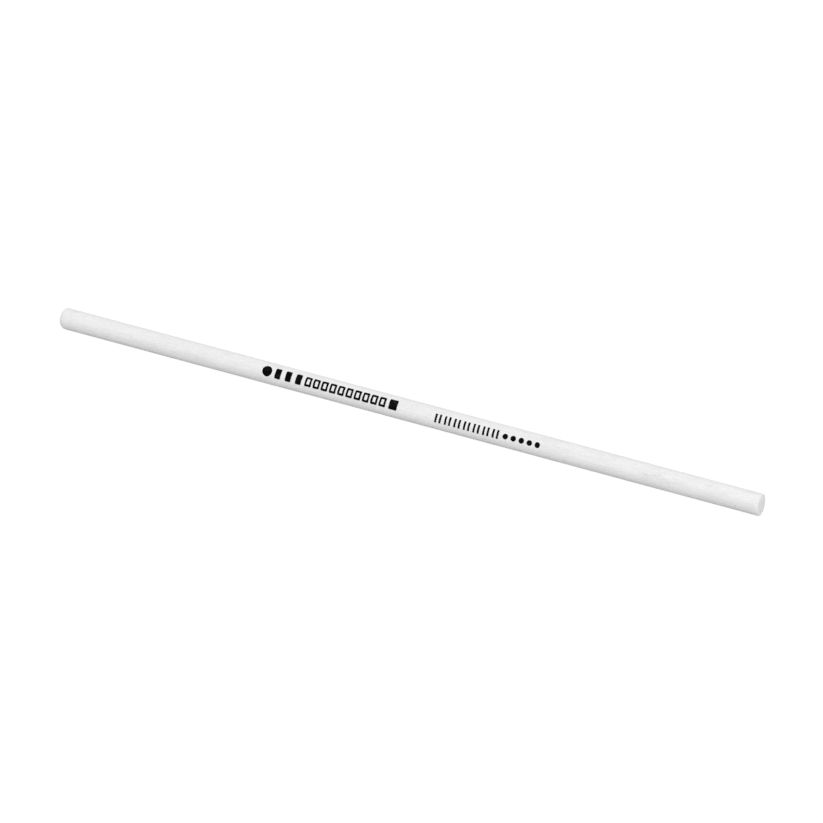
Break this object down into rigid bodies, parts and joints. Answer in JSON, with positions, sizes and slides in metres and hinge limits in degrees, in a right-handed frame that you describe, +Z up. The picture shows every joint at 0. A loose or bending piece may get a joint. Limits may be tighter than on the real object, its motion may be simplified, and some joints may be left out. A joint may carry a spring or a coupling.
{
  "type": "ceramic fibre sharpening stick",
  "caption": "Slim round ceramic-fibre abrasive stick with printed legends, for honing and polishing small edges and slots.",
  "frame": {"origin": "middle of the stick, on its axis", "axes": "+X along the stick's axis towards the end with the bevelled rim; +Z up when the stick lies on a table with its print tilted up and towards -Y"},
  "size_m": [0.1, 0.0028, 0.0028],
  "materials": {
    "stone": "matt, fine-grained",
    "ink": "matt stamping ink"
  },
  "bodies": {
    "root": {"stone_stick": "stone", "print_disc": "ink", "print_blocks": "ink", "print_boxes": "ink", "print_end_bar": "ink", "print_bars": "ink", "print_dots": "ink"}
  },
  "joints": []
}
